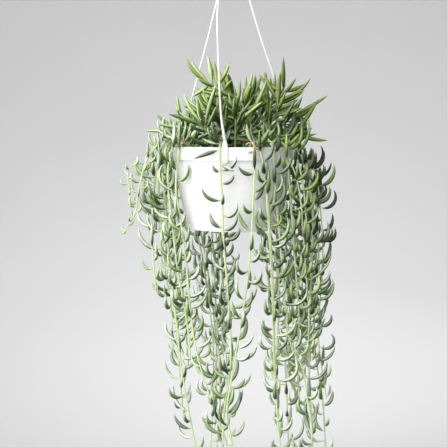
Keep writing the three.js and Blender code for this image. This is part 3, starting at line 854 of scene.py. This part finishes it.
def foliage_material(name, kinds, young, painted_highlight, stem):
    """Waxy skin: painted highlight on the side facing the window lamp, painted shade away from it, pale root,
    dry tip.

    kinds are the ripe leaves' greens, from the deepest to the palest.
    """
    paint = Paint(name)
    patches = paint.noise(130.0, 5.0)
    kind = paint.ramp(paint.attribute("hue"), [(0.1, kinds[0]), (0.5, kinds[1]), (0.95, kinds[2])])
    grown = paint.mix(paint.attribute("tone"), young, kind)
    normal = paint.add("NewGeometry", "Normal")
    # How far the surface faces the window lamp; the painted highlight and painted shade below follow it.
    sunny = paint.add("VectorMath", "Value", {0: normal, 1: SUNNY_SIDE}, operation="DOT_PRODUCT")
    # Painted shade: the leaf's green darkened on the side turned away from the window lamp.
    shaded = paint.mix(1.0, grown, PAINTED_SHADE, "MULTIPLY")
    sided = paint.mix(paint.fitted(sunny, -0.4, 0.4), shaded, grown)
    # Painted highlight: a pale waxy colour laid in random patches on the side facing the window lamp.
    lit = paint.fitted(sunny, 0.0, 0.85, 0.02, 0.85)
    patchy = paint.multiplied(lit, paint.fitted(patches, 0.3, 0.65, 0.45, 1.0))
    highlighted = paint.mix(paint.multiplied(patchy, paint.attribute("dust")), sided, painted_highlight)
    lined = paint.mix(paint.attribute("line"), highlighted, tuple(part * 0.7 for part in kinds[0]))
    along = paint.attribute("along")
    rooted = paint.mix(paint.fitted(along, 0.2, 0.0), lined, stem)
    tipped = paint.mix(paint.fitted(along, 0.93, 1.0, 0.0, 0.6), rooted, DRY_TIP)
    husk = paint.ramp(patches, [(0.35, HUSK_DARK), (0.6, HUSK_PALE)])
    return paint.finished({
        "Base Color": paint.mix(paint.attribute("dry"), tipped, husk),
        "Roughness": paint.fitted(patches, 0.2, 0.8, 0.34, 0.58),
        "Subsurface Weight": 0.06, "Subsurface Radius": (0.0012, 0.0016, 0.0006), "Subsurface Scale": 1.0,
        "Specular IOR Level": 0.28, "Coat Weight": 0.1, "Coat Roughness": 0.25,
        "Sheen Weight": 0.04, "Sheen Roughness": 0.4, "Sheen Tint": (0.85, 0.95, 0.82),
        "Normal": paint.bump(paint.noise(900.0, 3.0), 0.12, 0.0003),
    })


def slanting_scuffs(paint):
    """Faint long scuffs on a slant, as from handling: the thin contours of a stretched noise."""
    values = {"Vector": paint.add("TexCoord", "Object"), "Rotation": SCUFF_SLANT, "Scale": SCUFF_SIZE}
    slant = paint.add("Mapping", "Vector", values, vector_type="TEXTURE")
    return paint.ramp(paint.noise(1.0, 1.0, slant), [(0.49, CLEAN), (0.5, SCUFFED), (0.51, CLEAN)])


def plastic_material(name, colour, shade, scuffed=False):
    """Moulded plastic: faint cloudiness and a fine orange-peel skin."""
    paint = Paint(name)
    skin = paint.ramp(paint.noise(14.0, 6.0), [(0.3, shade), (0.6, colour)])
    if scuffed:
        skin = paint.mix(1.0, skin, slanting_scuffs(paint), "MULTIPLY")
    return paint.finished({
        "Base Color": skin, "Roughness": paint.fitted(paint.noise(60.0, 4.0), 0.0, 1.0, 0.34, 0.5),
        "Normal": paint.bump(paint.noise(700.0, 2.0), 0.06, 0.0002),
    })


def soil_material():
    """Dark crumbs with pale grit."""
    paint = Paint("potting mix")
    grains = paint.noise(420.0, 6.0)
    colours = [(0.35, (0.006, 0.005, 0.004)), (0.6, (0.03, 0.021, 0.014)), (0.8, (0.09, 0.065, 0.045))]
    return paint.finished({
        "Base Color": paint.ramp(grains, colours), "Roughness": 0.95,
        "Normal": paint.bump(grains, 0.8, 0.002),
    })


# Painted shade for the side of a leaf turned from the lamp, and the direction of the window lamp that picks
# the lit side.
PAINTED_SHADE = (0.11, 0.19, 0.105)
SUNNY_SIDE = (-0.42, -0.34, 0.84)
DRY_TIP = (0.20, 0.13, 0.07)
HUSK_DARK = (0.24, 0.12, 0.08)
HUSK_PALE = (0.62, 0.42, 0.30)
SCUFF_SLANT = (0, radians(-20), 0)
SCUFF_SIZE = (0.3, 0.3, 0.022)
CLEAN = (1, 1, 1)
SCUFFED = (0.9, 0.9, 0.9)
# The pale colour given to each of these materials is a painted highlight on the side of a leaf that faces the
# window lamp.
leaf_mature = foliage_material(
    "waxy leaves", kinds=[(0.02, 0.055, 0.01), (0.08, 0.2, 0.025), (0.23, 0.38, 0.09)],
    young=(0.42, 0.56, 0.12), painted_highlight=(0.86, 0.97, 0.78), stem=(0.66, 0.77, 0.43))
leaf_mound = foliage_material(
    "mound leaves", kinds=[(0.018, 0.055, 0.008), (0.045, 0.15, 0.028), (0.17, 0.36, 0.085)],
    young=(0.45, 0.56, 0.12), painted_highlight=(0.66, 0.84, 0.44), stem=(0.44, 0.52, 0.25))
white_plastic = plastic_material("white pot plastic", (0.87, 0.87, 0.88), (0.83, 0.83, 0.835), scuffed=True)
hanger_plastic = plastic_material("white hanger plastic", (0.9, 0.9, 0.9), (0.84, 0.84, 0.84))
earth = soil_material()


# ---- Leafy stems ----

def spindle(share):
    """How thick a leaf is along its length: a short neck, full in the middle, a sharp tip."""
    return max(0.0, sin(pi * share ** 0.85)) ** 0.72 * (0.3 + 0.7 * min(1, share / 0.3))


def add_leaf(bm, layers, leaf):
    """A spindle along the leaf's spine, with a line of clear tissue along its inner side."""
    centre, _ = path_functions(leaf_spine(leaf, 2 * LEAF_RINGS))
    across = Vector((-sin(leaf["azimuth"]), cos(leaf["azimuth"]), 0))
    inner = Vector(polar(-1, leaf["azimuth"], 0.6)).normalized()

    def radius(share):
        return leaf["radius"] * spindle(share)

    shares = swept(bm, centre, radius, across, LEAF_SIDES, LEAF_RINGS)
    for vertex, share in shares.items():
        offset = vertex.co - Vector(centre(share))
        facing = offset.normalized().dot(inner) if offset.length > 1e-6 else 0
        middle = 1 if abs(across.dot(offset)) < 1.0 else 0.3
        vertex[layers["along"]] = share
        vertex[layers["line"]] = max(0.0, facing - 0.75) * 2.4 * middle
        vertex[layers["dry"]] = leaf.get("dry", 0)
        # Each leaf's ripeness, its green, and its share of the painted highlight.
        for key in ("tone", "hue", "dust"):
            vertex[layers[key]] = leaf[key]


def add_stem(bm, layers, route, step, base_angle, girth=1.0):
    """A round stem along the route, a little thicker at each joint, thinner to its tip."""
    centre, count = path_functions(points_along(route, step))
    side = polar(1, base_angle)

    def radius(share):
        return girth * STEM_RADIUS * (1.02 - 0.2 * share) * (0.96 + 0.08 * sin(share * count * 1.1))

    shares = swept(bm, centre, radius, side, STEM_SIDES, count)
    for vertex in shares:
        vertex[layers["along"]] = 0.02
        vertex[layers["tone"]] = 0.5


def leafy_stem(name, route, leaves, branches, material):
    """One stem with its branches and leaves, each leaf with its own ripeness and green, and its share of
    painted highlight.
    """
    random = seeded_random(len(name) * TINT_SEED + len(leaves))
    ripeness = RIPENESS.get(name, random(*COMMON_RIPENESS))
    bm = bmesh.new()
    layers = {key: bm.verts.layers.float.new(key) for key in ("along", "tone", "line", "hue", "dust", "dry")}
    base_angle = atan2(route[0][1], route[0][0]) + pi / 2
    add_stem(bm, layers, route, STEM_RING_STEP, base_angle)
    for branch in branches:
        add_stem(bm, layers, branch, BRANCH_RING_STEP, base_angle, BRANCH_GIRTH)
    for leaf in leaves:
        leaf["tone"] = min(1.0, leaf["age"] * ripeness * random(*TONE_SPREAD))
        x, _, z = leaf["root"]
        # Painted light by place: near the rim, leaves further right get less painted highlight and more deep
        # green, as painted shade away from the window lamp.
        side = x * max(0, 1 + z / SIDE_HEIGHT)
        dust = HIGHLIGHT_SHARE.get(name, HIGHLIGHT_MIDDLE - HIGHLIGHT_FALL * side - HIGHLIGHT_RISE * z)
        # More of the deep greens towards the right near the rim: painted shade.
        deepening = exp(DEPTH_MIDDLE + SHADE_RISE * side)
        leaf["hue"] = ONE_GREEN[name] if name in ONE_GREEN else random() ** deepening
        leaf["dust"] = dust * random(*HIGHLIGHT_SPREAD)
        add_leaf(bm, layers, leaf)
    dress(finish_mesh(bm, f"{name}_leafy"), material, name)


all_routes = stem_routes()
all_leaves, all_branches = grow(all_routes)
for stem_name, stem_route in all_routes.items():
    skin = leaf_mound if stem_name.startswith("shoot") else leaf_mature
    leafy_stem(stem_name, stem_route, all_leaves[stem_name], all_branches[stem_name], skin)


# ---- Pot and soil ----

def spun(profile, segments):
    """A closed profile of (radius, height), from axis to axis, spun about Z."""
    bm = bmesh.new()
    corners = [bm.verts.new((radius, 0, height)) for radius, height in profile]
    edges = [bm.edges.new(pair) for pair in zip(corners[:-1], corners[1:])]
    bmesh.ops.spin(bm, geom=corners + edges, cent=(0, 0, 0), axis=(0, 0, 1), angle=2 * pi,
                   steps=segments, use_merge=True)
    bmesh.ops.remove_doubles(bm, verts=bm.verts, dist=0.001)
    bmesh.ops.recalc_face_normals(bm, faces=bm.faces)
    return bm


def rounded(profile, radius):
    """The profile with each corner between its ends rounded by a short arc."""
    smooth = [profile[0]]
    for before, corner, after in zip(profile[:-2], profile[1:-1], profile[2:]):
        corner = Vector(corner)
        back, ahead = Vector(before) - corner, Vector(after) - corner
        reach = min(radius, back.length * 0.45, ahead.length * 0.45)
        first, last = corner + back.normalized() * reach, corner + ahead.normalized() * reach
        for step in range(CORNER_STEPS + 1):
            share = step / CORNER_STEPS
            point = first * (1 - share) ** 2 + corner * 2 * share * (1 - share) + last * share ** 2
            smooth.append(tuple(point))
    smooth.append(profile[-1])
    return smooth


def drill_floor(pot):
    """Cuts the ring of drain holes through the pot's floor."""
    bm = bmesh.new()
    for hole in range(DRAIN_HOLES):
        place = polar(DRAIN_CIRCLE, 2 * pi * hole / DRAIN_HOLES, -POT_HEIGHT)
        bmesh.ops.create_cone(bm, cap_ends=True, segments=24, radius1=DRAIN_RADIUS, radius2=DRAIN_RADIUS,
                              depth=4 * WALL, matrix=Matrix.Translation(place))
    drill = finish_mesh(bm, "drill")
    cut = pot.modifiers.new("drain holes", "BOOLEAN")
    cut.object = drill
    cut.operation = "DIFFERENCE"
    cut.solver = "EXACT"
    bpy.context.view_layer.update()
    shape = bpy.data.meshes.new_from_object(pot.evaluated_get(bpy.context.evaluated_depsgraph_get()))
    pot.modifiers.clear()
    pot.data = shape
    bpy.data.objects.remove(drill)


def make_pot():
    """The pot's wall from under its floor, up over the rim and down inside, spun about its axis."""
    neck = -RIM_BAND - NECK_BAND
    foot = -POT_HEIGHT + FOOT_BAND
    inside = -POT_HEIGHT + WALL
    recess = -POT_HEIGHT + FOOT_RECESS
    profile = [
        (0, recess), (BASE_RADIUS - FOOT_RING + 1, recess), (BASE_RADIUS - FOOT_RING, -POT_HEIGHT),
        (BASE_RADIUS, -POT_HEIGHT), (pot_radius(foot) - 0.4, foot - GROOVE),
        (pot_radius(foot) + 0.4, foot + GROOVE),
        (NECK_RADIUS + GROOVE, neck - GROOVE), (NECK_RADIUS, neck + 0.4), (NECK_RADIUS, -RIM_BAND),
        (RIM_RADIUS, -RIM_BAND), (RIM_RADIUS, 0), (RIM_RADIUS - WALL, 0),
        (NECK_RADIUS - WALL, neck + 4), (BASE_RADIUS - WALL, inside), (0, inside),
    ]
    piece = finish_mesh(spun(rounded(profile, EDGE_ROUND), SEGMENTS_AROUND), "pot_shell")
    drill_floor(piece)
    dress(piece, white_plastic, "pot")


def make_soil():
    """The soil's body with a lumpy top, and loose crumbs that lie in it."""
    bm = bmesh.new()
    bmesh.ops.create_cone(bm, cap_ends=True, segments=64, radius1=SOIL_FOOT_RADIUS, radius2=SOIL_TOP_RADIUS,
                          depth=SOIL_DEPTH)
    bmesh.ops.translate(bm, vec=(0, 0, SOIL_TOP - 0.4 - SOIL_DEPTH / 2), verts=bm.verts)
    top = [face for face in bm.faces if face.normal.z > 0.9]
    for _ in range(SOIL_RINGS):
        bmesh.ops.inset_region(bm, faces=top, thickness=RING_WIDTH, use_even_offset=True)
    for vertex in bm.verts:
        if vertex.co.z > SOIL_TOP - 1:
            x, y, _ = vertex.co
            lump = noise.noise(Vector((x * 0.16, y * 0.16, 3.0))) * 1.8
            lump += noise.noise(Vector((x, y, 9.0)) * 0.5)
            vertex.co.z = soil_height(x, y) + lump * 0.7
    random = seeded_random(CRUMB_SEED)
    for _ in range(CRUMBS):
        x, y, _ = polar(CRUMB_REACH * sqrt(random()), 2 * pi * random())
        crumb = bmesh.ops.create_icosphere(bm, subdivisions=1, radius=0.5 + 1.3 * random())["verts"]
        for vertex in crumb:
            vertex.co = Vector((vertex.co.x * (0.8 + 0.6 * random()), vertex.co.y, vertex.co.z * 0.7))
        bmesh.ops.translate(bm, vec=(x, y, soil_height(x, y) + 0.5), verts=crumb)
    dress(finish_mesh(bm, "potting_mix", smooth=False), earth, "soil")


make_pot()
make_soil()


# ---- Hanger ----

def add_block(bm, size, place):
    corners = bmesh.ops.create_cube(bm, size=1.0)["verts"]
    bmesh.ops.scale(bm, vec=size, verts=corners)
    bmesh.ops.translate(bm, vec=place, verts=corners)
    return corners


def make_strand(name):
    """A round strand that swells into its flat clip, with the catch that hooks under the rim band."""
    angle = radians(CLIP_ANGLES[name])
    centre, count = path_functions(points_along(strand_route(name), 4))

    def radius(share):
        swell = exp(-((centre(share)[2] - SWELL_HEIGHT) / SWELL_LENGTH) ** 2)
        return STRAND_ROD * (1 + STRAND_SWELL * swell)

    bm = bmesh.new()
    swept(bm, centre, radius, (-sin(angle), cos(angle), 0), 10, count)
    inner = RIM_RADIUS + GAP
    under = -RIM_BAND - GAP
    plate = add_block(bm, (CLIP_THICKNESS, CLIP_WIDTH, CLIP_TOP - under + 2),
                      (inner + CLIP_THICKNESS / 2, 0, (CLIP_TOP + under - 2) / 2))
    around = {part for vertex in plate for part in (vertex, *vertex.link_edges, *vertex.link_faces)}
    bmesh.ops.bisect_plane(bm, geom=list(around), plane_co=(0, 0, CLIP_SHOULDER), plane_no=(0, 0, 1))
    plate = list({corner for vertex in plate for face in vertex.link_faces for corner in face.verts})
    for vertex in plate:
        if vertex.co.z > CLIP_TOP - 1:
            vertex.co.y *= CLIP_NARROWING
    catch = add_block(bm, (CLIP_CATCH + 1, CLIP_WIDTH, CATCH_DEPTH),
                      (inner - CLIP_CATCH / 2 + 0.5, 0, under - CATCH_DEPTH / 2))
    edges = {edge for vertex in plate + catch for edge in vertex.link_edges if edge.calc_face_angle(0) > 0.2}
    rounded_off = bmesh.ops.bevel(bm, geom=list(edges), offset=0.6, segments=2, profile=0.5, affect="EDGES",
                                  material=-1)["verts"]
    turned = set(rounded_off) | {vertex for vertex in plate + catch if vertex.is_valid}
    bmesh.ops.rotate(bm, cent=(0, 0, 0), matrix=Matrix.Rotation(angle, 3, "Z"), verts=list(turned))
    dress(finish_mesh(bm, f"{name}_moulding"), hanger_plastic, name)


def make_hook():
    """The hub that joins the strands, and the rod that bends into the open hook."""
    bend = HOOK_INNER + HOOK_ROD
    half = HUB_THICKNESS / 2
    shank = HUB_HEIGHT + half
    route = [(HUB_X, 0, shank - 2), (HUB_X - 2, 0, shank + 5), (-bend + 1.5, 0, RIM_DROP - HOOK_INNER - 6)]
    for degrees in range(180, -21, -20):
        angle = radians(degrees)
        route.append((bend * cos(angle), 0, RIM_DROP + bend * sin(angle) - HOOK_INNER))
    centre, count = path_functions(points_along(route, 1.6))
    hub = [(0, -half), (HUB_RADIUS, -half), (HUB_RADIUS, 2), (HUB_RADIUS - 1.5, half), (0, half)]
    bm = spun(rounded(hub, 0.8), SEGMENTS_AROUND // 2)
    bmesh.ops.translate(bm, vec=(HUB_X, 0, HUB_HEIGHT), verts=bm.verts)
    swept(bm, centre, lambda share: HOOK_ROD, (0, 1, 0), 14, count)
    dress(finish_mesh(bm, "hook_moulding"), hanger_plastic, "hanger_hook")


for strand_name in CLIP_ANGLES:
    make_strand(strand_name)
make_hook()


# ---- Studio ----

# Metres here. A lamp has a place, what it points at, its width and its watts.
FLOOR = -1.5
ROOM_RADIUS = 6.5
COVE = 4
COVE_STEPS = 12
WALL_TOP = 5
PLANT = (0, 0, -0.4)
LAMPS = {
    "window": ((-1.35, -2.25, 0.7), PLANT, 4.2, 142),
    "fill": ((1.9, 2.7, 0.5), PLANT, 3.0, 14),
    "wall behind": ((0.2, 1.9, 0.95), (-0.5, 6.5, 0.0), 3.0, 106),
    "wall left": ((-2.8, 0.8, 1.0), (-6.5, 0.8, 0.2), 3.0, 60),
    "wall right": ((2.8, 0.8, 1.0), (6.5, 0.8, 0.2), 3.0, 60),
    "wall before": ((-0.8, -3.6, 1.2), (-2.4, -6.0, -0.6), 3.0, 50),
}
WINDOW_COLOUR = (1.0, 0.995, 0.98)
AIR_COLOUR = (0.95, 0.97, 1.0, 1)
AIR_STRENGTH = 0.18
SENSOR = 36
LENS = 64.75
CAMERA_PLACE = (-0.0122, -1.0, -0.273)
CAMERA_TILT = 6.1


def make_studio():
    """A pale floor that curves up into a round pale wall."""
    start = ROOM_RADIUS - COVE
    profile = [(0, FLOOR), (start, FLOOR)]
    for step in range(1, COVE_STEPS + 1):
        angle = radians(90 * step / COVE_STEPS)
        profile.append((start + COVE * sin(angle), FLOOR + COVE * (1 - cos(angle))))
    profile.append((ROOM_RADIUS, WALL_TOP))
    ground = as_object(spun(profile, SEGMENTS_AROUND), "studio_floor")
    paint = Paint("studio paint")
    greys = paint.ramp(paint.noise(0.6, 2.0), [(0.3, (0.6, 0.6, 0.605)), (0.7, (0.62, 0.62, 0.625))])
    ground.data.materials.append(paint.finished({"Base Color": greys, "Roughness": 0.9}))


def area_light(name, place, target, size, watts):
    light = bpy.data.lights.new(name, "AREA")
    light.shape = "DISK"
    light.size = size
    light.energy = watts
    light.color = WINDOW_COLOUR if name == "window" else (1, 1, 1)
    lamp = bpy.data.objects.new(name, light)
    lamp.location = place
    lamp.rotation_euler = (Vector(target) - Vector(place)).to_track_quat("-Z", "Y").to_euler()
    lamp.visible_camera = False
    bpy.context.collection.objects.link(lamp)


make_studio()
for lamp_name, lamp_values in LAMPS.items():
    area_light(lamp_name, *lamp_values)
world = bpy.data.worlds.new("studio air")
world.use_nodes = True
air = world.node_tree.nodes["Background"]
air.inputs["Color"].default_value = AIR_COLOUR
air.inputs["Strength"].default_value = AIR_STRENGTH
bpy.context.scene.world = world
bpy.context.scene.view_settings.view_transform = "Standard"

# The camera looks along +Y, a little above the rim and tilted down.
camera = bpy.data.objects.new("camera", bpy.data.cameras.new("camera"))
camera.data.sensor_width = SENSOR
camera.data.lens = LENS
camera.location = CAMERA_PLACE
camera.rotation_euler = (radians(90 - CAMERA_TILT), 0, 0)
bpy.context.collection.objects.link(camera)
bpy.context.scene.camera = camera
